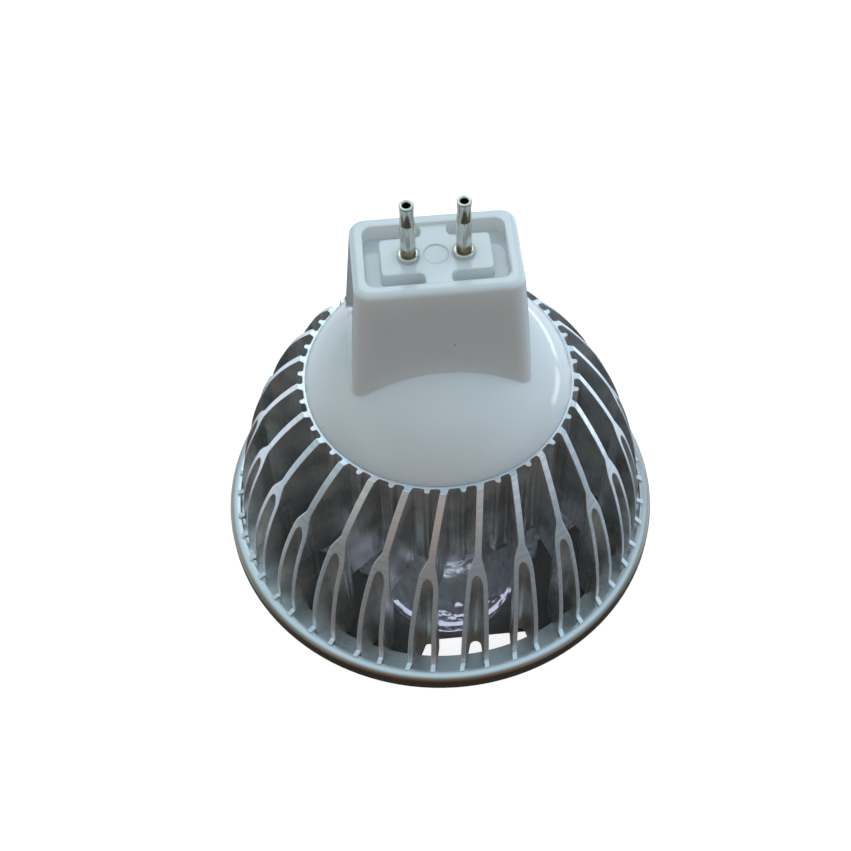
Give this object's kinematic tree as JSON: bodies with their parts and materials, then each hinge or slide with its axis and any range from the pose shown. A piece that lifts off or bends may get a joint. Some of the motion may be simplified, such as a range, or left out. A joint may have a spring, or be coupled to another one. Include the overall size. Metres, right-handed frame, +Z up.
{
  "type": "led spotlight bulb",
  "caption": "Pin-base LED spotlight bulb: bowl-shaped heat sink of forked leaning fins, white domed base with contact pins, front ring and clear collimator lens array.",
  "frame": {"origin": "centre of the front ring's lower face, on which the lamp stands face down", "axes": "+Z up the lamp's axis from the light-emitting face to the contact pins, +X from the left pin to the right pin, +Y towards the back of the base tower"},
  "size_m": [0.05, 0.05, 0.0507],
  "materials": {
    "front_ring": "bright turned",
    "heat_sink": "extruded and turned, bare",
    "base_housing": "glossy white moulding",
    "contact_pin": "bright nickel plate",
    "thermal_pad": "soft grey silicone",
    "led_board": "white solder mask",
    "led_emitter": "yellow phosphor under clear silicone",
    "lens": "clear polished acrylic",
    "screw": "zinc plated",
    "circuit_board": "green glass-epoxy laminate",
    "capacitor": "shrink sleeve",
    "inductor": "ferrite with enamelled copper winding",
    "chip": "moulded epoxy",
    "wire_input": "white insulation",
    "wire_positive": "red insulation",
    "wire_negative": "black insulation"
  },
  "bodies": {
    "root": {"front_ring": "front_ring", "heat_sink": "heat_sink", "base_housing": "base_housing", "contact_pin_left": "contact_pin", "contact_pin_right": "contact_pin", "thermal_pad": "thermal_pad", "led_board": "led_board", "led_emitter_1": "led_emitter", "led_emitter_2": "led_emitter", "led_emitter_3": "led_emitter", "led_emitter_4": "led_emitter", "lens_array": "lens", "board_screws": "screw", "base_screws": "screw", "driver_board": "circuit_board", "smoothing_capacitor": "capacitor", "inductor": "inductor", "rectifier": "chip", "driver_chip": "chip", "input_wire_left": "wire_input", "input_wire_right": "wire_input", "output_wire_positive": "wire_positive", "output_wire_negative": "wire_negative"}
  },
  "joints": []
}
